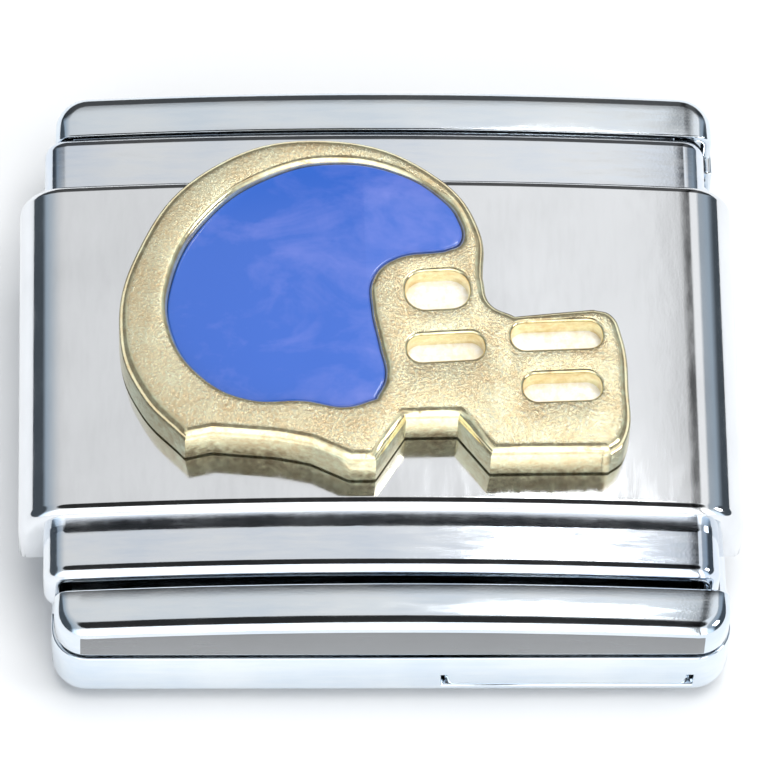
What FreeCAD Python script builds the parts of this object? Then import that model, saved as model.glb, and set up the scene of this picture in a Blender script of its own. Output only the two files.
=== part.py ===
"""Expansion-bracelet charm link with a football helmet emblem.

Millimetres.  X runs along the bracelet, Y across the band, Z out of the face.
The origin is under the middle of the link, on its flat back.
"""
import FreeCAD
import Part
import math
import os

V = FreeCAD.Vector

# ---- overall sizes -------------------------------------------------------
plate_length = 10.05       # face plate, along the bracelet
plate_width = 5.30         # face plate, across the band
band_width = 8.72          # over the upper tray's flanges
lower_width = 8.60         # over the lower tray's flanges
lower_length = 9.41        # lower sleeve and tray, along the bracelet
works_shift = 0.14         # staples, trays' ends and lower half, right of the plate's middle
face_shift = -0.10         # face plate and emblem, forward of the sleeves' middle
sleeve_width = 7.07        # both sleeves, across the band
crown_radius = 50.0        # of the face plate's outer surface

# ---- sheet thicknesses and bends ----------------------------------------
plate_sheet = 0.32
sleeve_sheet = 0.22        # upper sleeve
lower_sheet = 0.16         # lower sleeve
tray_sheet = 0.13
sleeve_bend = 0.35         # outside radius of the sleeves' corners
tray_bend = 0.16           # outside radius between tray and flange
tray_corner = 0.45         # plan radius of the upper tray's corners
lower_corner = 0.50        # plan radius of the lower tray's corners
lower_bend = 0.30

# ---- heights -------------------------------------------------------------
lower_height = 1.13        # outside height of the lower sleeve
unit_gap = 0.08            # between the two sleeves when closed
upper_height = 1.29        # outside height of the upper sleeve at the crown
plate_lift = 0.04          # the plate's side walls end this far above the sleeve's back
upper_flange = 0.81        # outside height of the upper tray's flange
flange_gap = 0.23          # between the two trays' flanges when closed

# ---- clearances ----------------------------------------------------------
plate_gap = 0.03           # face plate to upper sleeve, filled at the welds
wrap_gap = 0.03            # the plate's side walls to the sleeve
tray_gap = 0.01            # tray strip to the sleeve it lies in
side_gap = 0.05            # tray strip to the bends inside the sleeve
end_gap = 0.02             # sleeve end to the lower tray's cap
groove_wide = 0.06         # open groove between the upper sleeve's end and the bar beside it
groove_drop = 0.03         # bars' top above the strip in the upper sleeve
upper_tray_inset = 0.01    # upper tray cap narrower than the sleeve, on each side
web_gap = 0.06             # staple web to the lower flange
leg_gap = 0.03             # turning leg to the sheet above or below it
window_gap = 0.05          # hook staple to the window in the lower flange
spring_gap = 0.01

# ---- staples -------------------------------------------------------------
leg_wide = 0.46
leg_thick = 0.30
leg_length = 2.40          # inward from the web
web_deep = 0.36
staple_run = 2.80          # from lower leg to upper leg along the bracelet, closed
lower_leg_run = 1.40       # from the lower half's middle to the lower leg
hook_edge_margin = 0.35    # outer hook leg to the inside of the sleeve's side
hook_recess = 0.03         # parked hook web behind the flange's outer face

# ---- leaf springs --------------------------------------------------------
spring_sheet = 0.05
spring_length = 6.60
leg_spring_wide = 1.10
hook_spring_wide = 3.50
socket_spring_wide = 2.60
socket_spring_x = -2.30

# ---- welds and solder ----------------------------------------------------
weld_radius = 0.25
weld_x = 3.20
weld_y = 1.80
solder_sheet = 0.04
solder_radius = 0.45
solder_spots = ((-2.2, 0.9), (-0.9, -0.6), (2.3, -0.9))

# ---- emblem --------------------------------------------------------------
emblem_thick = 0.62
recess_depth = 0.26
enamel_drop = 0.10         # enamel surface below the rim
slot_depth = 0.30
slot_round = 0.45          # corner radius, as a share of the slot's narrower side
slot_tilt = 4.0            # degrees
# each slot: middle x, middle y, length, width
mask_slots = ((0.79, 0.42, 0.88, 0.60), (0.89, -0.50, 1.06, 0.42),
              (2.43, -0.28, 1.26, 0.43), (2.49, -1.10, 1.08, 0.43))

# ---- worked-out places ---------------------------------------------------
upper_low = lower_height + unit_gap
sleeve_top = upper_low + upper_height
plate_top = sleeve_top + plate_gap + plate_sheet
crown_axis_z = plate_top - crown_radius
sleeve_half = plate_length / 2 - plate_sheet - wrap_gap
sleeve_depth = plate_top - sleeve_top
strip_depth = sleeve_depth + sleeve_sheet + tray_gap
tray_depth = strip_depth - groove_drop
tray_top = plate_top - tray_depth
upper_flange_low = tray_top - upper_flange
lower_flange_top = upper_flange_low - flange_gap
lower_tray_low = lower_sheet + tray_gap
lower_floor = lower_tray_low + tray_sheet
leg_reach = math.hypot(leg_wide, leg_thick) / 2
lower_leg_z = lower_floor + leg_reach + leg_gap
upper_leg_z = upper_low + sleeve_sheet + leg_reach + leg_gap
lower_leg_x = works_shift - lower_leg_run
upper_leg_x = lower_leg_x + staple_run
staple_rise = upper_leg_z - lower_leg_z
leg_spacing = math.hypot(staple_run, staple_rise)
leg_rest_reach = (leg_wide * staple_rise + leg_thick * staple_run) / leg_spacing / 2
web_inner = lower_width / 2 - tray_sheet - web_gap - web_deep
hook_web_inner = lower_width / 2 - hook_recess - web_deep
lower_room_right = works_shift + lower_length / 2 - lower_sheet
hook_outer_x = lower_room_right - hook_edge_margin - leg_wide / 2
hook_inner_x = hook_outer_x - leg_spacing


def crown_height(x, depth):
    """Height of the crowned surface that lies depth below the face plate's outer one."""
    radius = crown_radius - depth
    return crown_axis_z + math.sqrt(radius ** 2 - x ** 2)


def edges_along_y(solid, test):
    """Straight edges that run across the band and whose x, z pass the test."""
    found = []
    for edge in solid.Edges:
        start = edge.Vertexes[0].Point
        end = edge.Vertexes[-1].Point
        same_line = abs(start.x - end.x) < 1e-6 and abs(start.z - end.z) < 1e-6
        if same_line and abs(start.y - end.y) > 1e-3 and test(start):
            found.append(edge)
    return found


def crowned_block(half_x, half_y, low, depth):
    """Block with a flat back at low and a crowned top, depth below the plate's surface."""
    edge_z = crown_height(half_x, depth)
    left_top = V(-half_x, -half_y, edge_z)
    middle_top = V(0, -half_y, crown_height(0, depth))
    right_top = V(half_x, -half_y, edge_z)
    right_low = V(half_x, -half_y, low)
    left_low = V(-half_x, -half_y, low)
    outline = [Part.Arc(left_top, middle_top, right_top).toShape()]
    outline.append(Part.makeLine(right_top, right_low))
    outline.append(Part.makeLine(right_low, left_low))
    outline.append(Part.makeLine(left_low, left_top))
    return Part.Face(Part.Wire(outline)).extrude(V(0, 2 * half_y, 0))


def crowned_bar(half_x, half_y, low, depth, top_radius, low_radius=0.0):
    """Crowned block with rounded edges across the band."""
    bar = crowned_block(half_x, half_y, low, depth)
    middle = (low + crown_height(half_x, depth)) / 2
    bar = bar.makeFillet(top_radius, edges_along_y(bar, lambda point: point.z > middle))
    if low_radius:
        bar = bar.makeFillet(low_radius, edges_along_y(bar, lambda point: point.z < low + 1e-3))
    return bar


def centred_box(half_x, half_y, low, high):
    """Box centred on X and Y, between two heights."""
    return Part.makeBox(2 * half_x, 2 * half_y, high - low, V(-half_x, -half_y, low))


def crown_layer(depth_top, depth_low):
    """Curved layer between two depths below the face plate's outer surface."""
    reach = 2 * band_width
    start = V(0, -reach / 2, crown_axis_z)
    outer = Part.makeCylinder(crown_radius - depth_top, reach, start, V(0, 1, 0))
    inner = Part.makeCylinder(crown_radius - depth_low, reach, start, V(0, 1, 0))
    return outer.cut(inner)


def make_upper_sleeve():
    """Flat tube of the upper half, open at its two ends across the band."""
    outer = crowned_bar(sleeve_half, sleeve_width / 2, upper_low, sleeve_depth,
                        sleeve_bend, sleeve_bend)
    bend = sleeve_bend - sleeve_sheet
    hollow = crowned_bar(sleeve_half - sleeve_sheet, sleeve_width, upper_low + sleeve_sheet,
                         sleeve_depth + sleeve_sheet, bend, bend)
    return outer.cut(hollow)


def rounded_box(half_x, half_y, low, high, bend):
    """Box with rounded edges across the band."""
    box = centred_box(half_x, half_y, low, high)
    return box.makeFillet(bend, edges_along_y(box, lambda point: True))


def make_lower_sleeve():
    """Flat tube of the lower half, whose back is the link's resting face."""
    half = lower_length / 2
    outer = rounded_box(half, sleeve_width / 2, 0, lower_height, sleeve_bend)
    hollow = rounded_box(half - lower_sheet, sleeve_width, lower_sheet,
                         lower_height - lower_sheet, sleeve_bend - lower_sheet)
    sleeve = outer.cut(hollow)
    sleeve.translate(V(works_shift, 0, 0))
    return sleeve


def upright_edges(solid):
    """Edges that run straight up."""
    found = []
    for edge in solid.Edges:
        start = edge.Vertexes[0].Point
        end = edge.Vertexes[-1].Point
        if abs(start.x - end.x) < 1e-6 and abs(start.y - end.y) < 1e-6:
            found.append(edge)
    return found


def edges_near(solid, height, reach):
    """Edges that stay within reach of a height."""
    found = []
    for edge in solid.Edges:
        box = edge.BoundBox
        if abs(box.ZMin - height) < reach and abs(box.ZMax - height) < reach:
            found.append(edge)
    return found


def upper_cap(inset, corner, bend, low):
    """Solid with the upper tray's outline, inset by a distance on every side but the open one."""
    half_x = sleeve_half - upper_tray_inset - inset
    depth = tray_depth + inset
    cap = crowned_block(half_x, band_width / 2 - inset, low, depth)
    cap = cap.makeFillet(corner, upright_edges(cap))
    fall = crown_height(0, depth) - crown_height(half_x, depth)
    cap = cap.makeFillet(bend, edges_near(cap, crown_height(0, depth), fall + 1e-3))
    cap.translate(V(works_shift, 0, 0))
    return cap


def make_upper_tray():
    """Strip through the upper sleeve whose two ends stand out as caps with flanges."""
    outer = upper_cap(0, tray_corner, tray_bend, upper_flange_low)
    inner = upper_cap(tray_sheet, tray_corner - tray_sheet, tray_bend - tray_sheet,
                      upper_flange_low - 1)
    sleeve_room = centred_box(plate_length, sleeve_width / 2 + groove_wide, 0, plate_top)
    caps = outer.cut(inner).cut(sleeve_room)
    strip_half_x = sleeve_half - sleeve_bend - side_gap
    strip_half_y = sleeve_width / 2 + groove_wide + tray_sheet
    strip = centred_box(strip_half_x, strip_half_y, 0, plate_top)
    strip = strip.common(crown_layer(strip_depth, strip_depth + tray_sheet))
    return caps.fuse(strip).removeSplitter()


def lower_cap(inset, corner, bend, high):
    """Solid with the lower tray's outline, inset by a distance on every side but the open one."""
    low = lower_tray_low + inset
    cap = centred_box(lower_length / 2 - inset, lower_width / 2 - inset, low, high)
    cap = cap.makeFillet(corner, upright_edges(cap))
    cap = cap.makeFillet(bend, edges_near(cap, low, 1e-3))
    cap.translate(V(works_shift, 0, 0))
    return cap


def hook_window():
    """Room for the hook staples through both lower flanges."""
    half_height = leg_thick / 2 + window_gap
    left = hook_inner_x - leg_wide / 2 - window_gap
    right = hook_outer_x + leg_wide / 2 + window_gap
    corner = V(left, -lower_width, lower_leg_z - half_height)
    return Part.makeBox(right - left, 2 * lower_width, 2 * half_height, corner)


def make_lower_tray():
    """Strip through the lower sleeve with flanges bent up, and windows for the hooks."""
    outer = lower_cap(0, lower_corner, lower_bend, lower_flange_top)
    inner = lower_cap(tray_sheet, lower_corner - tray_sheet, lower_bend - tray_sheet,
                      lower_flange_top + 1)
    sleeve_room = centred_box(plate_length, sleeve_width / 2 + end_gap, 0, plate_top)
    caps = outer.cut(inner).cut(sleeve_room).cut(hook_window())
    strip_half_x = lower_length / 2 - sleeve_bend - side_gap
    strip_half_y = sleeve_width / 2 + end_gap + tray_sheet
    strip = centred_box(strip_half_x, strip_half_y, lower_tray_low, lower_floor)
    strip.translate(V(works_shift, 0, 0))
    return caps.fuse(strip).removeSplitter()


def make_face_plate():
    """Crowned plate wrapped round the upper sleeve's left and right sides."""
    bend = sleeve_bend + plate_gap
    low = upper_low + plate_lift
    outer = crowned_bar(plate_length / 2, plate_width / 2, low, 0, bend + plate_sheet)
    hollow = crowned_bar(plate_length / 2 - plate_sheet, plate_width, low - 1, plate_sheet, bend)
    return outer.cut(hollow)


def make_staple(web_y):
    """U staple in the plane z = 0: web at web_y, legs running towards the middle.

    The first leg is on x = 0 and the second on x = leg_spacing.
    """
    staple = Part.makeBox(leg_spacing + leg_wide, web_deep, leg_thick,
                          V(-leg_wide / 2, web_y, -leg_thick / 2))
    for leg_x in (0, leg_spacing):
        corner = V(leg_x - leg_wide / 2, web_y - leg_length, -leg_thick / 2)
        staple = staple.fuse(Part.makeBox(leg_wide, leg_length + web_deep, leg_thick, corner))
    staple = staple.removeSplitter()
    outer_corners = []
    for edge in staple.Edges:
        point = edge.CenterOfMass
        upright = abs(edge.Vertexes[0].Z - edge.Vertexes[-1].Z) > leg_thick / 2
        at_side = abs(abs(point.x - leg_spacing / 2) - (leg_spacing + leg_wide) / 2) < 1e-6
        if upright and at_side and abs(point.y - web_y - web_deep) < 1e-6:
            outer_corners.append(edge)
    return staple.makeFillet(web_deep / 2, outer_corners)


def to_front(shape):
    """The same piece turned half round, for the front side of the band."""
    return shape.mirror(V(0, 0, 0), V(0, 1, 0))


def make_coupling_staple():
    """Staple that joins the two halves, at the rear side of the band."""
    staple = make_staple(web_inner)
    staple.rotate(V(0, 0, 0), V(0, -1, 0), math.degrees(math.atan2(staple_rise, staple_run)))
    staple.translate(V(lower_leg_x, 0, lower_leg_z))
    return staple


def make_hook_staple():
    """Staple that catches the next link, parked flat at the rear side of the band."""
    staple = make_staple(hook_web_inner)
    staple.translate(V(hook_inner_x, 0, lower_leg_z))
    return staple


def make_leaf_spring(centre_x, wide, top, legs_top):
    """Bowed leaf spring: its crest meets the sheet above at top, its ends lie on the legs."""
    half = spring_length / 2
    bow = top - spring_sheet - spring_gap - legs_top
    faces = []
    for rise in (0, -spring_sheet):
        left = V(0, -half, top + rise - bow)
        middle = V(0, 0, top + rise)
        right = V(0, half, top + rise - bow)
        faces.append(Part.Arc(left, middle, right).toShape())
    upper, lower = faces
    ends = []
    for index in (0, -1):
        ends.append(Part.makeLine(upper.Vertexes[index].Point, lower.Vertexes[index].Point))
    outline = Part.Wire(Part.__sortEdges__([upper, ends[0], lower, ends[1]]))
    spring = Part.Face(outline).extrude(V(wide, 0, 0))
    spring.translate(V(centre_x - wide / 2, 0, 0))
    return spring


def upper_spring_top(centre_x, wide):
    """Highest place for a spring under the crowned strip of the upper tray."""
    far_side = abs(centre_x) + wide / 2
    return crown_height(far_side, strip_depth + tray_sheet) - spring_gap


def make_spot_welds():
    """Weld nuggets between the upper sleeve and the face plate."""
    nuggets = []
    layer = crown_layer(plate_sheet, plate_sheet + plate_gap)
    for x in (-weld_x, weld_x):
        for y in (-weld_y, weld_y):
            pin = Part.makeCylinder(weld_radius, plate_top, V(x, y, 0))
            nuggets.append(pin.common(layer))
    return Part.makeCompound(nuggets)


def make_solder():
    """Solder spots between the face plate and the emblem."""
    spots = []
    layer = crown_layer(-solder_sheet, 0)
    for x, y in solder_spots:
        pin = Part.makeCylinder(solder_radius, 2 * plate_top, V(x, y, 0))
        spots.append(pin.common(layer))
    return Part.makeCompound(spots)


def curve_through(points):
    """Smooth edge through points in plan."""
    curve = Part.BSplineCurve()
    curve.interpolate([V(x, y, 0) for x, y in points])
    return curve.toShape()


def line_chain(points):
    """Straight edges through points in plan."""
    edges = []
    for start, end in zip(points, points[1:]):
        edges.append(Part.makeLine(V(start[0], start[1], 0), V(end[0], end[1], 0)))
    return edges


def helmet_face():
    """Outline of the helmet seen from its right side."""
    nape = (-2.72, -1.88)
    brow = (1.43, 0.66)
    dome = curve_through([brow, (1.41, 1.40), (0.86, 2.27), (-0.75, 2.90), (-2.40, 2.44),
                          (-3.38, 1.14), (-3.62, -0.22), (-3.32, -1.15), nape])
    mask_root = (1.86, 0.06)
    bridge = curve_through([mask_root, (1.53, 0.25), brow])
    under_edge = line_chain([nape, (-2.35, -1.80), (-1.45, -1.90), (-1.00, -2.00)])
    jaw = line_chain([(-1.00, -2.00), (-0.46, -2.27), (-0.10, -2.27), (0.32, -1.60)])
    notch = line_chain([(0.32, -1.60), (1.04, -1.58), (1.48, -2.16), (3.12, -2.10)])
    mask_front = curve_through([(3.12, -2.10), (3.33, -1.90), (3.41, -1.00), (3.34, -0.20),
                                (3.20, 0.12), (2.95, 0.20)])
    mask_top = line_chain([(2.95, 0.20), mask_root])
    edges = [dome] + under_edge + jaw + notch + [mask_front] + mask_top + [bridge]
    return Part.Face(Part.Wire(Part.__sortEdges__(edges)))


def enamel_face():
    """Outline of the enamelled field on the shell."""
    ear = (0.90, 1.08)
    jaw = (-0.10, -1.29)
    dome = curve_through([ear, (1.12, 1.21), (1.08, 1.60), (0.86, 1.91), (0.30, 2.31),
                          (-0.60, 2.51), (-1.50, 2.32), (-2.38, 1.68), (-2.90, 0.66),
                          (-2.90, -0.18), (-2.46, -0.92), (-1.86, -1.27), (-1.06, -1.31),
                          (-0.50, -1.41), jaw])
    front = curve_through([jaw, (0.04, -0.96), (-0.03, -0.45), (-0.13, 0.15), (-0.11, 0.62),
                           (0.16, 0.93), ear])
    return Part.Face(Part.Wire([dome, front]))


def prism(face, low, high):
    """Upright solid over a plan outline."""
    solid = face.extrude(V(0, 0, high - low))
    solid.translate(V(0, 0, low))
    return solid


def slot_cutter(x, y, length, width):
    """Rounded slot of the face mask, cut down from the emblem's surface."""
    box = centred_box(length / 2, width / 2, 0, 2 * emblem_thick)
    box = box.makeFillet(min(length, width) * slot_round, upright_edges(box))
    box.rotate(V(0, 0, 0), V(0, 0, 1), slot_tilt)
    floor_depth = slot_depth - solder_sheet - emblem_thick
    box.translate(V(x, y, crown_height(x, floor_depth)))
    return box


def make_emblem():
    """Helmet with a recess for the enamel and four slots in its mask."""
    top = -(solder_sheet + emblem_thick)
    body = prism(helmet_face(), plate_top - 1, plate_top + 2 * emblem_thick)
    body = body.common(crown_layer(top, -solder_sheet))
    recess = prism(enamel_face(), plate_top - 1, plate_top + 2 * emblem_thick)
    recess = recess.common(crown_layer(top - emblem_thick, top + recess_depth))
    body = body.cut(recess)
    for slot in mask_slots:
        body = body.cut(slot_cutter(*slot))
    return body


def make_enamel():
    """Enamel that fills the recess to just below the rim."""
    top = -(solder_sheet + emblem_thick)
    fill = prism(enamel_face(), plate_top - 1, plate_top + 2 * emblem_thick)
    return fill.common(crown_layer(top + enamel_drop, top + recess_depth))


def build():
    """Every piece by its name."""
    hook_spring_x = (hook_inner_x + hook_outer_x) / 2
    lower_top = lower_height - lower_sheet - spring_gap
    upper_legs_top = upper_leg_z + leg_rest_reach
    coupling = make_coupling_staple()
    hook = make_hook_staple()
    pieces = {
        "lower_sleeve": make_lower_sleeve(),
        "lower_tray": make_lower_tray(),
        "lower_coupling_spring": make_leaf_spring(
            lower_leg_x, leg_spring_wide, lower_top, lower_leg_z + leg_rest_reach),
        "lower_hook_spring": make_leaf_spring(
            hook_spring_x, hook_spring_wide, lower_top, lower_leg_z + leg_thick / 2),
        "coupling_staple_rear": coupling,
        "coupling_staple_front": to_front(coupling),
        "hook_staple_rear": hook,
        "hook_staple_front": to_front(hook),
        "upper_sleeve": make_upper_sleeve(),
        "upper_tray": make_upper_tray(),
        "upper_coupling_spring": make_leaf_spring(
            upper_leg_x, leg_spring_wide, upper_spring_top(upper_leg_x, leg_spring_wide),
            upper_legs_top),
        "upper_socket_spring": make_leaf_spring(
            socket_spring_x, socket_spring_wide,
            upper_spring_top(socket_spring_x, socket_spring_wide), upper_leg_z + leg_thick / 2),
        "face_plate": make_face_plate(),
        "plate_spot_welds": make_spot_welds(),
        "emblem_body": make_emblem(),
        "emblem_enamel": make_enamel(),
        "emblem_solder": make_solder(),
    }
    for name in ("face_plate", "plate_spot_welds", "emblem_body", "emblem_enamel", "emblem_solder"):
        pieces[name].translate(V(0, face_shift, 0))
    return pieces


os.makedirs("parts", exist_ok=True)
for name, shape in build().items():
    print(name, "valid", shape.isValid(), "solids", len(shape.Solids), shape.BoundBox)
    shape.exportStep(f"parts/{name}.step")
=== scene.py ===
# %% [markdown]
# # A bracelet charm link, from sheet steel, wire, gold and enamel
# The object is one link of an expansion bracelet, 10 mm long. Two flat steel tubes lie on each
# other, sprung staples join them, and a crowned plate with an enamelled helmet emblem is wrapped
# over the top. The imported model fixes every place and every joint, so the first step loads it.

# %% Load the fixed frame
import math

import bmesh
import bpy
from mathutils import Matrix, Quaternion, Vector


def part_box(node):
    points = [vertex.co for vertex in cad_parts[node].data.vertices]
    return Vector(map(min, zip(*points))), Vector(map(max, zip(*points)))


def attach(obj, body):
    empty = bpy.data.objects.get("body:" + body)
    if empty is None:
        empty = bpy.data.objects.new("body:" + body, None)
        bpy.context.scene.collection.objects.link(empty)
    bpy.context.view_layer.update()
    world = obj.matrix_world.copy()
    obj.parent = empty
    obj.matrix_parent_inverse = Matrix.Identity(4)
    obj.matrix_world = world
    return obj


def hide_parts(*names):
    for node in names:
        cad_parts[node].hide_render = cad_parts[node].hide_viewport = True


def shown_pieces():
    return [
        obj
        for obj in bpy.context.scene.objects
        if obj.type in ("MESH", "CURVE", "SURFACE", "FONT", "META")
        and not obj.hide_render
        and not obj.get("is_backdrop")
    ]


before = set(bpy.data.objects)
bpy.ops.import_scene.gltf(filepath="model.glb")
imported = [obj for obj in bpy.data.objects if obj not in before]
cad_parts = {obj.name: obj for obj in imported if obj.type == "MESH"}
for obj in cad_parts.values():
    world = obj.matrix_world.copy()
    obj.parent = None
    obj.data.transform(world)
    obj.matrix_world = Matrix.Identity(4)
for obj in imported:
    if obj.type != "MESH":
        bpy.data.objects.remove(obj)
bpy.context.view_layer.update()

MM = 0.001
scene = bpy.context.scene

# %% [markdown]
# ## Measures
# Each piece takes its size from the box of the node that it stands for. Only the sheet
# thicknesses, bend radii and the crown's radius can't be read from a box, so they are named here.

# %% Measures
CROWN = 50.0 * MM            # radius of the face plate's outer surface
PLATE_SHEET = 0.32 * MM
PLATE_GAP = 0.03 * MM        # between the plate and the sleeve
PLATE_ROUND = 0.155 * MM     # the *_ROUND values are the turned-over ends of the sheet
SLEEVE_SHEET = 0.22 * MM
SLEEVE_BEND = 0.35 * MM
SLEEVE_ROUND = 0.17 * MM
LOWER_SHEET = 0.16 * MM
LOWER_ROUND = 0.08 * MM
TRAY_SHEET = 0.13 * MM
UPPER_TRAY_CORNER = 0.45 * MM
UPPER_TRAY_BEND = 0.21 * MM
LOWER_TRAY_CORNER = 0.50 * MM
LOWER_TRAY_BEND = 0.30 * MM
TRAY_EDGE = 0.03 * MM
WINDOW_GAP = 0.015 * MM      # round a hook in its window
TINY = 1e-7

plate_low, plate_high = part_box("face_plate")
emblem_low, emblem_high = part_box("emblem_body")
CROWN_AXIS = plate_high.z - CROWN
FACE_Y = (plate_low.y + plate_high.y) / 2
print("face plate", [round(v / MM, 2) for v in plate_high - plate_low])


def crown_z(x, depth):
    """Height of the crowned surface that lies depth below the face plate's outer one."""
    return CROWN_AXIS + math.sqrt((CROWN - depth) ** 2 - x * x)


# %% [markdown]
# ## Hands for edit mode
# Every operator acts on what is selected, so a piece is first made the only selected object, and
# its faces, edges or points are then picked by their place or by the way that they face.

# %% Selecting and finishing helpers
def only(piece):
    """Makes a piece the one selected and active object."""
    if bpy.context.mode != "OBJECT":
        bpy.ops.object.mode_set(mode="OBJECT")
    bpy.ops.object.select_all(action="DESELECT")
    piece.select_set(True)
    bpy.context.view_layer.objects.active = piece


def edit(piece):
    """Opens a piece in edit mode."""
    only(piece)
    bpy.ops.object.mode_set(mode="EDIT")


def done():
    """Back to object mode."""
    bpy.ops.object.mode_set(mode="OBJECT")


def pick(piece, kind, test):
    """Selects the points, edges or faces of a piece in edit mode that pass a test."""
    bpy.ops.mesh.select_all(action="DESELECT")
    bpy.context.tool_settings.mesh_select_mode = (kind == "VERT", kind == "EDGE", kind == "FACE")
    mesh = bmesh.from_edit_mesh(piece.data)
    parts = {"VERT": mesh.verts, "EDGE": mesh.edges, "FACE": mesh.faces}[kind]
    count = 0
    for part in parts:
        if test(part):
            part.select_set(True)
            count += 1
    mesh.select_flush_mode()
    bmesh.update_edit_mesh(piece.data)
    return count


def ends(edge):
    """The two ends of an edge."""
    return edge.verts[0].co, edge.verts[1].co


def along(edge, axis):
    """Whether an edge runs along axis 0, 1 or 2."""
    step = edge.verts[1].co - edge.verts[0].co
    return abs(step[axis]) > 0.999 * step.length


def use(piece, kind, **settings):
    """Adds a modifier to a piece and applies it."""
    only(piece)
    modifier = piece.modifiers.new(kind.title(), kind)
    for key, value in settings.items():
        setattr(modifier, key, value)
    bpy.ops.object.modifier_apply(modifier=modifier.name)


def soften(piece, degrees=35):
    """Smooth shading that keeps the corners sharper than an angle."""
    only(piece)
    bpy.ops.object.shade_smooth_by_angle(angle=math.radians(degrees))


def name_it(name):
    """Names the piece just added and gives it its own mesh name."""
    piece = bpy.context.active_object
    piece.name = name
    piece.data.name = name
    return piece


def face_out(piece):
    """Turns all faces the same way, with those on top facing up."""
    edit(piece)
    bpy.ops.mesh.select_all(action="SELECT")
    bpy.ops.mesh.normals_make_consistent(inside=False)
    mesh = bmesh.from_edit_mesh(piece.data)
    top = max(mesh.faces, key=lambda face: face.calc_center_median().z)
    if top.normal.z < 0:
        bpy.ops.mesh.flip_normals()
    done()


# %% [markdown]
# ## Bending sheet metal
# The plate, the sleeves and the springs are strips that were bent in a press. They are made the
# same way here: one edge across the band is the start, and each step either extrudes it straight
# on or spins it round a bend's centre. A helper keeps the place and the heading, as a bender does.

# %% A strip bender
def bend_strip(name, width, start, heading, steps):
    """Strip whose section follows steps, seen from the front with X right and Z up.

    A step is ("run", length) or ("bend", radius, degrees, facets), positive to the right.
    """
    bpy.ops.mesh.primitive_plane_add(size=width, location=(0, 0, 0))
    piece = name_it(name)
    edit(piece)
    pick(piece, "VERT", lambda vert: vert.co.x > 0)
    bpy.ops.mesh.delete(type="VERT")
    bpy.ops.mesh.select_all(action="SELECT")
    x, z = start
    bpy.ops.transform.translate(value=(x + width / 2, 0, z))
    angle = math.radians(heading)
    for step in steps:
        if step[0] == "run":
            dx = step[1] * math.cos(angle)
            dz = step[1] * math.sin(angle)
            bpy.ops.mesh.extrude_region_move(TRANSFORM_OT_translate={"value": (dx, 0, dz)})
            x += dx
            z += dz
        else:
            radius, turn, facets = step[1], math.radians(step[2]), step[3]
            side = 1 if turn > 0 else -1
            cx = x + side * radius * math.sin(angle)
            cz = z - side * radius * math.cos(angle)
            bpy.ops.mesh.spin(steps=facets, angle=-turn, center=(cx, 0, cz), axis=(0, 1, 0))
            angle -= turn
            x = cx - side * radius * math.sin(angle)
            z = cz + side * radius * math.cos(angle)
    bpy.ops.mesh.select_all(action="SELECT")
    bpy.ops.mesh.remove_doubles(threshold=0.002 * MM)
    done()
    return piece


def crowned_steps(half, depth, bend, low):
    """Steps up the left side, over the crown and down the right side of a crowned section."""
    corner_x = half - bend
    reach = CROWN - depth
    corner_z = CROWN_AXIS + math.sqrt((reach - bend) ** 2 - corner_x ** 2)
    lean = math.degrees(math.asin(corner_x / (reach - bend)))
    side = ("run", corner_z - low)
    corner = ("bend", bend, 90 - lean, 10)
    return [side, corner, ("bend", reach, 2 * lean, 64), corner, side]


def round_ends(piece, width, segments=6):
    """Rounds the outer edges along the strip, where the press turned the cut sheet over."""
    box = [Vector(corner) for corner in piece.bound_box]
    middle = sum(box, Vector()) / 8
    reach = max(corner.y for corner in box)

    def on_outer_edge(edge):
        if along(edge, 1) or min(abs(point.y) for point in ends(edge)) < reach - TINY:
            return False
        outward = (edge.verts[0].co + edge.verts[1].co) / 2 - middle
        outward.y = 0
        return any(abs(face.normal.y) < 0.5 and face.normal.dot(outward) > 0 for face in edge.link_faces)

    edit(piece)
    pick(piece, "EDGE", on_outer_edge)
    bpy.ops.mesh.bevel(offset=width, offset_type="OFFSET", segments=segments, profile=0.5,
                       clamp_overlap=False)
    done()


def thicken(piece, sheet, edge, segments=3, end_round=0.0):
    """Gives a bent strip its thickness inwards and rounds its cut edges."""
    face_out(piece)
    use(piece, "SOLIDIFY", thickness=sheet, offset=-1, use_even_offset=True)
    if end_round:
        round_ends(piece, end_round)
    use(piece, "BEVEL", width=edge, segments=segments, limit_method="ANGLE",
        angle_limit=math.radians(50))
    soften(piece)
    use(piece, "WEIGHTED_NORMAL", keep_sharp=True)


# %% [markdown]
# ## The face plate
# It is a crowned strip with its two ends bent down round the sleeve. A slab with bevelled edges
# would look close from above, but its open back and its sheet edge show from the side, so it is
# bent from a strip.

# %% Face plate
plate_half = plate_high.x
plate_bend = SLEEVE_BEND + PLATE_GAP + PLATE_SHEET
plate_steps = crowned_steps(plate_half, 0, plate_bend, plate_low.z)
face_plate = bend_strip("face_plate_skin", plate_high.y - plate_low.y,
                        (-plate_half, plate_low.z), 90, plate_steps)
plate_seat = PLATE_SHEET + PLATE_GAP + 0.01 * MM    # down to just inside the sleeve's surface
thicken(face_plate, plate_seat, 0.01 * MM, 1, PLATE_ROUND)
edit(face_plate)
bpy.ops.mesh.select_all(action="SELECT")
bpy.ops.transform.translate(value=(0, FACE_Y, 0))
done()
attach(face_plate, "upper_unit")
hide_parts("face_plate")
print("face plate points", len(face_plate.data.vertices))

# %% [markdown]
# ## The two sleeves
# Each is a flat tube. The strip goes all the way round and its ends meet, and merging the points
# there closes the tube before it gets its thickness.

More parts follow.
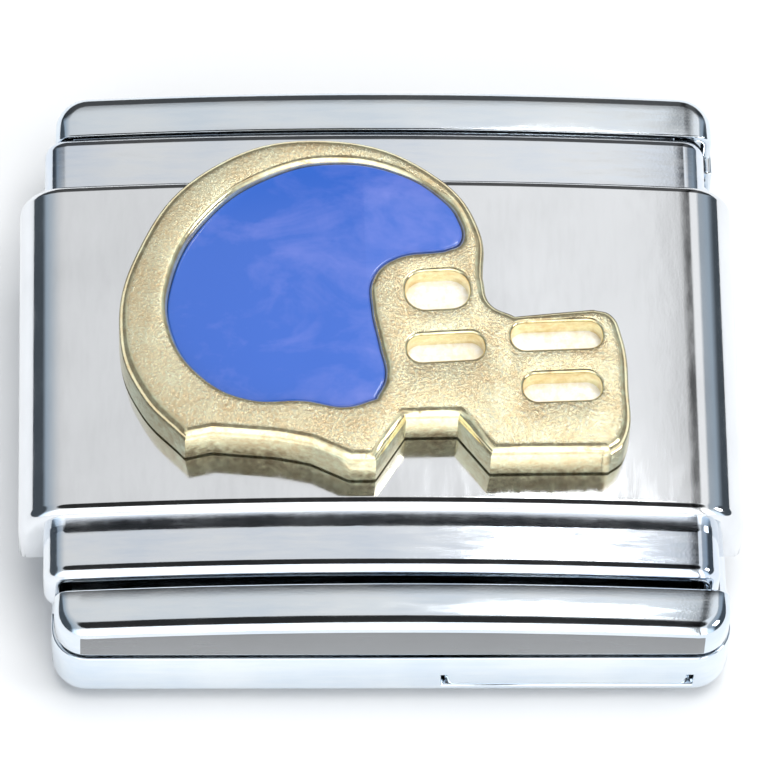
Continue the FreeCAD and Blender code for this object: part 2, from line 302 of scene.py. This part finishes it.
# %% Upper and lower sleeves
sleeve_low, sleeve_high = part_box("upper_sleeve")
upper_half = sleeve_high.x
start_z = sleeve_low.z + SLEEVE_BEND
upper_steps = crowned_steps(upper_half, plate_high.z - sleeve_high.z, SLEEVE_BEND, start_z)
back = ("bend", SLEEVE_BEND, 90, 8)
upper_steps += [back, ("run", 2 * (upper_half - SLEEVE_BEND)), back]
upper_sleeve = bend_strip("upper_sleeve_tube", sleeve_high.y - sleeve_low.y,
                          (-upper_half, start_z), 90, upper_steps)
thicken(upper_sleeve, SLEEVE_SHEET, 0.01 * MM, 1, SLEEVE_ROUND)
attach(upper_sleeve, "upper_unit")
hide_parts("upper_sleeve")

tube_low, tube_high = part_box("lower_sleeve")
lower_half = (tube_high.x - tube_low.x) / 2
rise = ("run", tube_high.z - tube_low.z - 2 * SLEEVE_BEND)
level = ("run", 2 * (lower_half - SLEEVE_BEND))
lower_steps = [rise, back, level, back, rise, back, level, back]
lower_sleeve = bend_strip("lower_sleeve_tube", tube_high.y - tube_low.y,
                          (tube_low.x, tube_low.z + SLEEVE_BEND), 90, lower_steps)
thicken(lower_sleeve, LOWER_SHEET, 0.02 * MM, 2, LOWER_ROUND)
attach(lower_sleeve, "lower_unit")
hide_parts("lower_sleeve")

# %% [markdown]
# ## The two trays
# The tray ends stand out of the sleeves as bars with bent flanges. They have bends in two
# directions at their corners, which a strip can't give, so each is a box with its edges bevelled,
# its open side deleted, and then solidified. The upper one is pressed to the crown.

# %% Tray helpers
def boxed(name, low, high):
    """Box between two corners."""
    middle = (low + high) / 2
    bpy.ops.mesh.primitive_cube_add(size=1, location=middle, scale=high - low)
    piece = name_it(name)
    only(piece)
    bpy.ops.object.transform_apply(location=True, rotation=True, scale=True)
    return piece


def round_box(piece, corner, bend, round_top):
    """Rounds the upright corners of a box, then the edges round its top or its bottom."""
    edit(piece)
    pick(piece, "EDGE", lambda edge: along(edge, 2))
    bpy.ops.mesh.bevel(offset=corner, offset_type="OFFSET", segments=8, profile=0.5)
    heights = [vert.co.z for vert in bmesh.from_edit_mesh(piece.data).verts]
    level = max(heights) if round_top else min(heights)

    def on_rim(edge):
        near = all(abs(point.z - level) < TINY for point in ends(edge))
        return near and any(abs(face.normal.z) < 0.5 for face in edge.link_faces)

    pick(piece, "EDGE", on_rim)
    bpy.ops.mesh.bevel(offset=bend, offset_type="OFFSET", segments=6, profile=0.5)
    done()


def cut_at(piece, axis, places):
    """Cuts a piece right through at places along an axis, keeping both sides."""
    normal = [0, 0, 0]
    normal[axis] = 1
    edit(piece)
    for place in places:
        point = [0, 0, 0]
        point[axis] = place
        bpy.ops.mesh.select_all(action="SELECT")
        bpy.ops.mesh.bisect(plane_co=point, plane_no=normal)
    done()


def delete_faces(piece, test):
    """Deletes the faces whose middle passes a test."""
    edit(piece)
    pick(piece, "FACE", lambda face: test(face.calc_center_median(), face.normal))
    bpy.ops.mesh.delete(type="FACE")
    done()


def press_crown(piece, above, rest_z, middle=0.0):
    """Lowers what is above a height to the crown, as the press does; rest_z is the flat top."""
    depth = plate_high.z - rest_z
    for vert in piece.data.vertices:
        if vert.co.z > above:
            vert.co.z += crown_z(vert.co.x - middle, depth) - rest_z


# %% Upper tray
tray_low, tray_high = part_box("upper_tray")
tray_top = tray_high.z
tray_middle = (tray_low.x + tray_high.x) / 2
bar_start = sleeve_high.y + 0.12 * MM       # where the bars start, outside the groove
groove_depth = 0.15 * MM
upper_tray = boxed("upper_tray_bars", tray_low, tray_high)
round_box(upper_tray, UPPER_TRAY_CORNER, UPPER_TRAY_BEND, True)
cut_at(upper_tray, 0, [tray_middle + 0.19 * MM * step for step in range(-22, 23)])
cut_at(upper_tray, 1, (-bar_start, bar_start))
delete_faces(upper_tray, lambda place, normal: normal.z < -0.9 or abs(place.y) < bar_start)
press_crown(upper_tray, (tray_top + tray_low.z) / 2, tray_top, tray_middle)
thicken(upper_tray, TRAY_SHEET, TRAY_EDGE)

strip_depth = plate_high.z - tray_top + groove_depth
strip_half = upper_half - SLEEVE_BEND - 0.05 * MM
strip_lean = math.degrees(math.asin(strip_half / (CROWN - strip_depth)))
strip_start = (-strip_half, crown_z(strip_half, strip_depth))
strip_steps = [("bend", CROWN - strip_depth, 2 * strip_lean, 48)]
tray_strip = bend_strip("upper_tray_strip", 2 * bar_start + 0.2 * MM, strip_start, strip_lean,
                        strip_steps)
thicken(tray_strip, TRAY_SHEET, 0.02 * MM, 2)
only(upper_tray)
tray_strip.select_set(True)
bpy.ops.object.join()
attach(upper_tray, "upper_unit")
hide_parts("upper_tray")

# %% Lower tray
pan_low, pan_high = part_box("lower_tray")
hook_low, hook_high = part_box("hook_staple_front")
pan_end = tube_high.y + 0.02 * MM
lower_tray = boxed("lower_tray_pan", pan_low, pan_high)
round_box(lower_tray, LOWER_TRAY_CORNER, LOWER_TRAY_BEND, False)
window_x = (hook_low.x - WINDOW_GAP, hook_high.x + WINDOW_GAP)
window_z = (hook_low.z - WINDOW_GAP, hook_high.z + WINDOW_GAP)
cut_at(lower_tray, 1, (-pan_end, pan_end))
cut_at(lower_tray, 0, window_x)
cut_at(lower_tray, 2, window_z)


def open_part(place, normal):
    """The pan's open top, its middle's side walls and the two hook windows."""
    side_wall = abs(place.y) < pan_end and place.z > pan_low.z + TINY
    in_window = window_x[0] < place.x < window_x[1] and window_z[0] < place.z < window_z[1]
    return normal.z > 0.9 or side_wall or (in_window and abs(normal.y) > 0.9)


delete_faces(lower_tray, open_part)
edit(lower_tray)
bpy.ops.mesh.select_all(action="SELECT")
bpy.ops.mesh.normals_make_consistent(inside=False)
mesh = bmesh.from_edit_mesh(lower_tray.data)
floor_face = min(mesh.faces, key=lambda face: face.calc_center_median().z)
if floor_face.normal.z > 0:
    bpy.ops.mesh.flip_normals()
done()
use(lower_tray, "SOLIDIFY", thickness=TRAY_SHEET, offset=-1, use_even_offset=True)
use(lower_tray, "BEVEL", width=TRAY_EDGE, segments=3, limit_method="ANGLE",
    angle_limit=math.radians(50))
soften(lower_tray)
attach(lower_tray, "lower_unit")
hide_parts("lower_tray")

# %% [markdown]
# ## The emblem
# It is one flat shape pressed to the plate's crown. Its outline is drawn with smooth and straight
# stretches through a few points, turned into a mesh and extruded. Booleans sink the enamel's recess
# and the mask's slots, and a bevel rounds each rim, which is what catches the light.

# %% Outline helpers
def outline_piece(name, stretches, low, high):
    """Upright solid over a closed outline. A stretch is (smooth, points) and shares its ends."""
    rim = []
    for smooth, points in stretches:
        bpy.ops.curve.primitive_bezier_curve_add()
        stroke = bpy.context.active_object
        spline = stroke.data.splines[0]
        spline.bezier_points.add(len(points) - 2)
        handle, facets = ("AUTO", 10) if smooth else ("VECTOR", 1)
        for knot, (x, y) in zip(spline.bezier_points, points):
            knot.co = (x * MM, y * MM, 0)
            knot.handle_left_type = handle
            knot.handle_right_type = handle
        spline.resolution_u = facets
        stroke.data.resolution_u = facets
        stroke.data.dimensions = "2D"
        stroke.data.fill_mode = "NONE"
        only(stroke)
        bpy.ops.object.convert(target="MESH")
        rim.append(bpy.context.active_object)
    bpy.ops.object.select_all(action="DESELECT")
    for stroke in rim:
        stroke.select_set(True)
    bpy.context.view_layer.objects.active = rim[0]
    bpy.ops.object.join()
    piece = name_it(name)
    edit(piece)
    bpy.ops.mesh.select_all(action="SELECT")
    bpy.ops.mesh.remove_doubles(threshold=0.004 * MM)
    bpy.ops.mesh.edge_face_add()
    bpy.ops.transform.translate(value=(0, FACE_Y, low))
    bpy.ops.mesh.extrude_region_move(TRANSFORM_OT_translate={"value": (0, 0, high - low)})
    bpy.ops.mesh.select_all(action="SELECT")
    bpy.ops.mesh.normals_make_consistent(inside=False)
    done()
    return piece


def carve(piece, cutter):
    """Cuts one solid out of another and removes the cutter."""
    use(piece, "BOOLEAN", operation="DIFFERENCE", object=cutter, solver="EXACT")
    bpy.data.objects.remove(cutter)


def round_rim(piece, foot, width, segments):
    """Rounds the rim round the flat top whose upright walls stand on a height."""

    def on_rim(edge):
        level = all(abs(point.z - flat_top) < TINY for point in ends(edge))
        walls = [face for face in edge.link_faces if abs(face.normal.z) < 0.3]
        return level and any(min(vert.co.z for vert in wall.verts) < foot + 3 * TINY for wall in walls)

    edit(piece)
    count = pick(piece, "EDGE", on_rim)
    bpy.ops.mesh.bevel(offset=width, offset_type="OFFSET", segments=segments, profile=0.5,
                       clamp_overlap=False)
    done()
    print(piece.name, "rim edges", count)


# %% Helmet, recess and slots
HELMET = [                   # outlines in millimetres from the plate's middle
    (True, [(1.43, 0.66), (1.41, 1.40), (0.86, 2.27), (-0.75, 2.90), (-2.40, 2.44),
            (-3.38, 1.14), (-3.62, -0.22), (-3.32, -1.15), (-2.72, -1.88)]),
    (False, [(-2.72, -1.88), (-2.35, -1.80), (-1.45, -1.90), (-1.00, -2.00), (-0.46, -2.27),
             (-0.10, -2.27), (0.32, -1.60), (1.04, -1.58), (1.48, -2.16), (3.12, -2.10)]),
    (True, [(3.12, -2.10), (3.33, -1.90), (3.41, -1.00), (3.34, -0.20), (3.20, 0.12),
            (2.95, 0.20)]),
    (False, [(2.95, 0.20), (1.86, 0.06)]),
    (True, [(1.86, 0.06), (1.53, 0.25), (1.43, 0.66)]),
]
FIELD = [
    (True, [(0.90, 1.08), (1.12, 1.21), (1.08, 1.60), (0.86, 1.91), (0.30, 2.31),
            (-0.60, 2.51), (-1.50, 2.32), (-2.38, 1.68), (-2.90, 0.66), (-2.90, -0.18),
            (-2.46, -0.92), (-1.86, -1.27), (-1.06, -1.31), (-0.50, -1.41), (-0.10, -1.29)]),
    (True, [(-0.10, -1.29), (0.04, -0.96), (-0.03, -0.45), (-0.13, 0.15), (-0.11, 0.62),
            (0.16, 0.93), (0.90, 1.08)]),
]
SLOTS = [(0.79, 0.42, 0.88, 0.60), (0.89, -0.50, 1.06, 0.42),      # middle x, y, length, width
         (2.43, -0.28, 1.26, 0.43), (2.49, -1.10, 1.08, 0.43)]
SLOT_TILT = math.radians(4)
SLOT_CORNER = 0.45           # share of a slot's width
SLOT_DEPTH = 0.30 * MM
RECESS = 0.26 * MM
EMBLEM_THICK = 0.62 * MM
ENAMEL_DROP = 0.10 * MM      # enamel surface below the rim
ABOVE = 0.30 * MM            # how far a cutter stands out
SLICE = 0.30 * MM            # facets of the crown across the emblem
flat_top = emblem_high.z
flat_low = flat_top - EMBLEM_THICK
emblem = outline_piece("emblem_gold", HELMET, flat_low, flat_top)
round_rim(emblem, flat_low - TINY, 0.16 * MM, 6)
recess = outline_piece("recess_cutter", FIELD, flat_top - RECESS, flat_top + ABOVE)
carve(emblem, recess)
round_rim(emblem, flat_top - RECESS - TINY, 0.12 * MM, 5)
for x, y, length, width in SLOTS:
    low = Vector((-length / 2 * MM, -width / 2 * MM, flat_top - SLOT_DEPTH))
    high = Vector((length / 2 * MM, width / 2 * MM, flat_top + ABOVE))
    slot_cutter = boxed("slot_cutter", low, high)
    edit(slot_cutter)
    pick(slot_cutter, "EDGE", lambda edge: along(edge, 2))
    bpy.ops.mesh.bevel(offset=SLOT_CORNER * width * MM, offset_type="OFFSET", segments=6,
                       profile=0.5)
    bpy.ops.mesh.select_all(action="SELECT")
    bpy.ops.transform.rotate(value=-SLOT_TILT, orient_axis="Z", center_override=(0, 0, 0))
    bpy.ops.transform.translate(value=(x * MM, y * MM + FACE_Y, 0))
    done()
    carve(emblem, slot_cutter)
round_rim(emblem, flat_top - SLOT_DEPTH - TINY, 0.05 * MM, 3)
cut_at(emblem, 0, [SLICE * step for step in range(-13, 13)])
press_crown(emblem, 0, flat_top)
soften(emblem, 40)
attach(emblem, "upper_unit")
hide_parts("emblem_body")
print("emblem points", len(emblem.data.vertices))

# %% Enamel
enamel = outline_piece("emblem_enamel_fill", FIELD, flat_top - 0.25 * MM, flat_top - ENAMEL_DROP)
edit(enamel)
pick(enamel, "VERT", lambda vert: vert.co.z > flat_top - 0.2 * MM)
bpy.ops.transform.rotate(value=math.radians(2.0), orient_axis="Y",
                         center_override=(-0.9 * MM, 0.5 * MM, flat_top - ENAMEL_DROP))
done()
use(enamel, "BEVEL", width=0.05 * MM, segments=4, limit_method="ANGLE",
    angle_limit=math.radians(60))
cut_at(enamel, 0, [SLICE * step for step in range(-11, 7)])
press_crown(enamel, 0, flat_top)
soften(enamel, 12)
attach(enamel, "upper_unit")
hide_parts("emblem_enamel")

# %% [markdown]
# ## Shader maths
# A finish is a small sum of noise and masks. Written as nodes that takes pages, so a class wraps
# a socket, and plain Python operators on it add the Math nodes.

# %% Shader maths
NOISE_START = (11.37, 7.73, 5.91)       # keeps the noise's own origin off the piece


class Socket:
    """A number, colour or vector from a node, with arithmetic on numbers."""

    def __init__(self, shader, link):
        self.shader = shader
        self.link = link

    def _math(self, operation, other):
        return self.shader.node("ShaderNodeMath", {0: self, 1: other}, operation=operation)

    def __add__(self, other):
        return self._math("ADD", other)

    def __sub__(self, other):
        return self._math("SUBTRACT", other)

    def __mul__(self, other):
        return self._math("MULTIPLY", other)


class Finish:
    """One material, built from wrapped sockets."""

    def __init__(self, name, **fixed):
        self.material = bpy.data.materials.new(name)
        self.material.use_nodes = True
        self.tree = self.material.node_tree
        self.shader = self.tree.nodes["Principled BSDF"]
        self.set(self.shader, fixed)

    def set(self, node, values):
        for key, value in values.items():
            socket = node.inputs[key.replace("_", " ") if isinstance(key, str) else key]
            if isinstance(value, Socket):
                self.tree.links.new(value.link, socket)
            else:
                socket.default_value = value

    def node(self, kind, values=None, output=0, **settings):
        node = self.tree.nodes.new(kind)
        for key, value in settings.items():
            setattr(node, key, value)
        self.set(node, values or {})
        return Socket(self, node.outputs[output])

    def place(self, scale=(1, 1, 1), turn=(0, 0, 0)):
        """Object coordinates in millimetres from the noise's start, stretched or turned."""
        here = self.node("ShaderNodeTexCoord", output="Object")
        size = [part / MM for part in scale]
        return self.node("ShaderNodeMapping", {"Vector": here, "Scale": size, "Rotation": turn,
                                               "Location": NOISE_START})

    def noise(self, where, scale, detail=3.0, rough=0.5, distortion=0.0):
        return self.node("ShaderNodeTexNoise", {"Vector": where, "Scale": scale, "Detail": detail,
                                                "Roughness": rough, "Distortion": distortion})

    def span(self, value, low, high, to_low=0.0, to_high=1.0):
        """Maps one range of a number to another, clamped."""
        return self.node("ShaderNodeMapRange", {"Value": value, "From Min": low, "From Max": high,
                                                "To Min": to_low, "To Max": to_high})

    def mix(self, factor, first, second):
        return self.node("ShaderNodeMix", {0: factor, 6: first, 7: second}, output=2,
                         data_type="RGBA")

    def bump(self, height, strength, distance):
        return self.node("ShaderNodeBump", {"Height": height, "Strength": strength,
                                            "Distance": distance})

    def wear(self, **links):
        """Links values to the shader and gives the material."""
        self.set(self.shader, links)
        return self.material


def dress(piece, *materials):
    """Gives a piece its materials, all faces on the first."""
    piece.data.materials.clear()
    for material in materials:
        piece.data.materials.append(material)
    for face in piece.data.polygons:
        face.material_index = 0


# %% [markdown]
# ## Steel
# All steel here is stainless, and what differs is the last work on it: the face plate was
# polished, the sleeves and trays were tumbled, the staples were drawn and the springs rolled. The
# finish is a clean metal whose roughness varies with rub marks, and a very shallow bump.

# %% Steel finishes
def steel(name, tone, rough, spread, rub, bump, cool=(0.90, 0.90, 0.90)):
    """Stainless steel; rub scales the marks along X, Y and Z, cool is the clouds' share."""
    finish = Finish(name, Metallic=1.0)
    cloud = finish.noise(finish.place(), 0.6, 3.0)
    marks = finish.noise(finish.place(rub), 1.0, 5.0, 0.65)
    fine = finish.noise(finish.place(), 28.0, 2.0)
    low = [part * share for part, share in zip(tone, cool)] + [1]
    high = list(tone) + [1]
    colour = finish.mix(finish.span(cloud * 0.6 + marks * 0.4, 0.35, 0.62), low, high)
    roughness = finish.span(marks * 0.7 + cloud * 0.3, 0.38, 0.66, rough, rough + spread)
    shape = finish.bump(marks * 0.7 + fine * 0.3, 1.0, bump * MM)
    return finish.wear(Base_Color=colour, Roughness=roughness, Normal=shape)


plate_steel = steel("polished_plate_steel", (0.83, 0.85, 0.875), 0.05, 0.10, (7.0, 1.6, 2.2), 0.0004)
sleeve_steel = steel("sleeve_satin_steel", (0.80, 0.83, 0.86), 0.05, 0.12, (1.2, 10.0, 10.0), 0.0007,
                     (0.82, 0.87, 0.95))
tray_steel = steel("tray_satin_steel", (0.80, 0.845, 0.88), 0.05, 0.12, (1.2, 10.0, 10.0), 0.0007,
                   (0.84, 0.89, 0.95))
staple_steel = steel("staple_drawn_steel", (0.62, 0.62, 0.62), 0.28, 0.14, (6.0, 1.5, 6.0), 0.0010)
spring_steel = steel("spring_rolled_steel", (0.58, 0.59, 0.60), 0.26, 0.10, (2.0, 12.0, 2.0), 0.0006)
solder_metal = steel("solder_dull", (0.55, 0.55, 0.53), 0.38, 0.14, (6.0, 6.0, 6.0), 0.0020)
dress(face_plate, plate_steel)
dress(upper_sleeve, sleeve_steel)
dress(lower_sleeve, sleeve_steel)
# The bars' outer end walls get a very dark steel tone, which is a painted dark reflection of the shade
# these walls face.
flange_wall_painted_dark = steel("flange_wall_painted_dark_reflection", (0.27, 0.275, 0.28), 0.14, 0.16, (1.2, 10.0, 14.0), 0.0008)
dress(upper_tray, tray_steel, flange_wall_painted_dark)
# Faces at the bars' outer ends that face along Y take the painted dark reflection.
for face in upper_tray.data.polygons:
    if abs(face.normal.y) > 0.97 and abs(face.center.y) > tray_high.y - 0.01 * MM:
        face.material_index = 1
dress(lower_tray, tray_steel)
for name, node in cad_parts.items():
    if "hook_staple" in name:
        dress(node, tray_steel)
    elif "staple" in name:
        dress(node, staple_steel)
    elif "spring" in name:
        dress(node, spring_steel)
    elif "weld" in name or "solder" in name:
        dress(node, solder_metal)

# %% [markdown]
# ## Gold and enamel
# The emblem's face was blasted, so it is a fine grain that scatters light, with pale specks that are
# partly painted glints, while its edges were polished, and the slots' floors are a pale, near white,
# matt gold that is a painted highlight. The three are separate materials on faces picked by the way they
# face
# and by their height. The enamel is glass: one deep colour with slow clouds in it, a little paler to
# the right, under a smooth surface.

# %% Gold
def gold(name, tone, rough, grain, bump, metallic=0.85):
    """Gold plating; grain is how fine the specks are and bump how deep."""
    finish = Finish(name, Metallic=metallic)
    speck = finish.noise(finish.place(), grain, 4.0, 0.7)
    cloud = finish.noise(finish.place(), 1.6, 2.0)
    # The pale specks are partly the plating's mottled tone and partly painted glints of the blasted
    # grain.
    pale = [min(1.0, part * 1.25) for part in tone] + [1]
    deep = [tone[0] * 0.84, tone[1] * 0.78, tone[2] * 0.66, 1]
    colour = finish.mix(finish.span(cloud * 0.35 + speck * 0.65, 0.38, 0.66), deep, pale)
    roughness = finish.span(speck, 0.3, 0.7, rough, rough + 0.16)
    return finish.wear(Base_Color=colour, Roughness=roughness,
                       Normal=finish.bump(speck, 1.0, bump * MM))


gold_face = gold("gold_grained", (1.00, 0.84, 0.58), 0.15, 22.0, 0.009)
gold_edge = gold("gold_polished", (0.93, 0.79, 0.53), 0.08, 9.0, 0.001)
# The slots' floors get a pale, near white gold, which is a painted highlight for the bright reflection
# inside the slots.
gold_slot_painted_highlight = gold("gold_slot_floor_painted_highlight", (1.00, 0.97, 0.88), 0.35, 9.0, 0.001, 0.2)
dress(emblem, gold_edge, gold_face, gold_slot_painted_highlight)
for face in emblem.data.polygons:
    if face.normal.z > 0.97:
        grained = face.center.z > crown_z(face.center.x, plate_high.z - flat_top) - 0.1 * MM
        # Upward faces below the grained top, which are the slot floors, take the painted highlight.
        face.material_index = 1 if grained else 2

# %% Enamel finish
def glass_enamel():
    """Glass over a deep blue, with clouds of a paler blue."""
    finish = Finish("blue_enamel", Roughness=0.12, Coat_Weight=0.5, Coat_Roughness=0.05)
    finish.shader.inputs["IOR"].default_value = 1.52
    slow = finish.noise(finish.place((1.0, 1.6, 1.0), (0, 0, 0.5)), 0.75, 4.0, 0.6, 0.6)
    small = finish.noise(finish.place(), 2.4, 4.0, 0.6, 0.4)
    along_x = finish.node("ShaderNodeSeparateXYZ", {"Vector": finish.place()}, output="X")
    paler = (along_x - NOISE_START[0]) * 0.05
    cloud = finish.span(slow * 0.75 + small * 0.25 + paler, 0.40, 0.66)
    colour = finish.mix(cloud, (0.026, 0.100, 0.44, 1), (0.105, 0.155, 0.50, 1))
    return finish.wear(Base_Color=colour)


dress(enamel, glass_enamel())

# %% [markdown]
# ## Studio
# The link lies on a pale floor. Polished steel shows its surroundings, so the sky is a small
# studio: one wide soft light that grows a little to the right, a gap, a narrower light and dim
# sides. A dark ceiling patch gives the thin dark line at the start of each rounded edge, a bright
# front gives the white line after it, and the rear is dim.

# %% Floor, sky and lights
bpy.ops.mesh.primitive_plane_add(size=0.6, location=(0, 0, 0))
floor = name_it("studio_floor")
floor_finish = Finish("floor_white", Roughness=0.9)
paper = floor_finish.noise(floor_finish.place(), 0.05, 3.0)
floor_tone = floor_finish.mix(paper, (0.73, 0.735, 0.74, 1), (0.75, 0.755, 0.76, 1))
dress(floor, floor_finish.wear(Base_Color=floor_tone))
floor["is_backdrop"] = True

CAMERA_AZIMUTH = math.radians(-3.5)
CAMERA_RISE = math.radians(60)
toward_camera = Vector((math.sin(CAMERA_AZIMUTH) * math.cos(CAMERA_RISE),
                        -math.cos(CAMERA_AZIMUTH) * math.cos(CAMERA_RISE),
                        math.sin(CAMERA_RISE)))

world = bpy.data.worlds.new("studio_sky")
scene.world = world
world.use_nodes = True
sky = world.node_tree
sky_light = sky.nodes["Background"]
direction = sky.nodes.new("ShaderNodeTexCoord").outputs["Generated"]


def sky_node(kind, links=None, **values):
    """Adds a node to the sky; links and values go to its inputs by name or number."""
    node = sky.nodes.new(kind)
    for key, value in values.items():
        setattr(node, key, value)
    for key, value in (links or {}).items():
        if isinstance(value, bpy.types.NodeSocket):
            sky.links.new(value, node.inputs[key])
        else:
            node.inputs[key].default_value = value
    return node


def sky_range(value, low, high, to_low, to_high):
    """Maps one range of a number to another, clamped."""
    limits = {"Value": value, "From Min": low, "From Max": high, "To Min": to_low, "To Max": to_high}
    return sky_node("ShaderNodeMapRange", limits).outputs["Result"]


def sky_product(first, second):
    return sky_node("ShaderNodeMath", {0: first, 1: second}, operation="MULTIPLY").outputs["Value"]


# Each panel stop is (place from left -1 to right 1, light). Dim far sides are a little bluish.
PANELS = [(-1.00, 0.10), (-0.77, 0.10), (-0.70, 0.50), (-0.30, 0.75), (0.00, 0.85), (0.20, 1.00),
          (0.24, 0.12), (0.27, 0.12), (0.31, 1.00), (0.46, 1.00), (0.53, 0.50), (0.74, 0.50),
          (0.83, 0.10), (1.00, 0.10)]
BLUISH = 0.30
DIM = 0.9
sides = sky_node("ShaderNodeSeparateXYZ", {0: direction})
panels = sky_node("ShaderNodeValToRGB", {0: sky_range(sides.outputs["X"], -1, 1, 0, 1)})
elements = panels.color_ramp.elements
while len(elements) < len(PANELS):
    elements.new(0.5)
for element, (place, light) in zip(elements, PANELS):
    element.position = (place + 1) / 2
    far = max(0.0, min(1.0, (abs(place) - 0.35) / 0.3))
    red = 1 - BLUISH * far * (light < DIM)
    element.color = (light * red, light * (0.5 + 0.5 * red), light, 1)

CEILING_RISE = math.radians(80)
CEILING_REACH = math.radians(27)
CEILING_DARK = math.radians(23)         # fully dark within this of its middle
ceiling = Vector((0, -math.cos(CEILING_RISE), math.sin(CEILING_RISE)))
toward_ceiling = sky_node("ShaderNodeVectorMath", {0: direction, 1: ceiling}, operation="DOT_PRODUCT")
patch = sky_range(toward_ceiling.outputs["Value"], math.cos(CEILING_REACH), math.cos(CEILING_DARK),
                  1.0, 0.035)
front = sky_range(sides.outputs["Y"], -0.50, -0.70, 1.0, 2.6)
rear = sky_range(sides.outputs["Y"], 0.58, 0.68, 1.0, 0.10)
sky.links.new(panels.outputs["Color"], sky_light.inputs["Color"])
sky.links.new(sky_product(patch, sky_product(front, rear)), sky_light.inputs["Strength"])


def soft_box(name, place, aim, size, power):
    """Square lamp at a place, aimed at a point."""
    bpy.ops.object.light_add(type="AREA", location=place)
    lamp = bpy.context.active_object
    lamp.name = name
    lamp.data.size = size
    lamp.data.energy = power
    lamp.rotation_euler = (Vector(aim) - Vector(place)).to_track_quat("-Z", "Y").to_euler()
    return lamp


overhead = soft_box("overhead", (0.02, -0.01, 0.24), (0, 0, 0), 0.16, 0.56)
overhead.visible_glossy = False
soft_box("right_panel", (0.17, -0.05, 0.11), (0, 0, 0), 0.06, 0.10)
soft_box("near_glare", (0.0067, 0.0089, 0.030), (0.003, -0.005, 0.002), 0.005, 0.0007)

# %% [markdown]
# ## Camera
# The link is seen from the front and well above, through a long lens, so its far side looks only a
# little smaller than its near side. The camera is rolled a little about its own line of sight.

# %% Camera
DISTANCE = 118 * MM
ROLL = math.radians(3)
AIM_BELOW = 0.57 * MM        # the camera aims this far below the plate's middle, as it sees it
up = Vector((0, math.sin(CAMERA_RISE), math.cos(CAMERA_RISE)))
look_at = Vector((0, FACE_Y, plate_high.z)) - AIM_BELOW * up
bpy.ops.object.camera_add(location=look_at + DISTANCE * toward_camera)
camera = bpy.context.active_object
camera.name = "studio_camera"
camera.rotation_mode = "QUATERNION"
camera.rotation_quaternion = (-toward_camera).to_track_quat("-Z", "Y")
camera.rotation_quaternion.rotate(Quaternion(toward_camera, ROLL))
camera.data.type = "PERSP"
camera.data.lens = 402
camera.data.sensor_width = 36
camera.data.clip_start = 0.01
camera.data.clip_end = 10
scene.camera = camera
scene.view_settings.view_transform = "Standard"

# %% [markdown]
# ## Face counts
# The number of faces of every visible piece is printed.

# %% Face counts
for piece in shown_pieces():
    print(piece.name, len(piece.data.polygons))
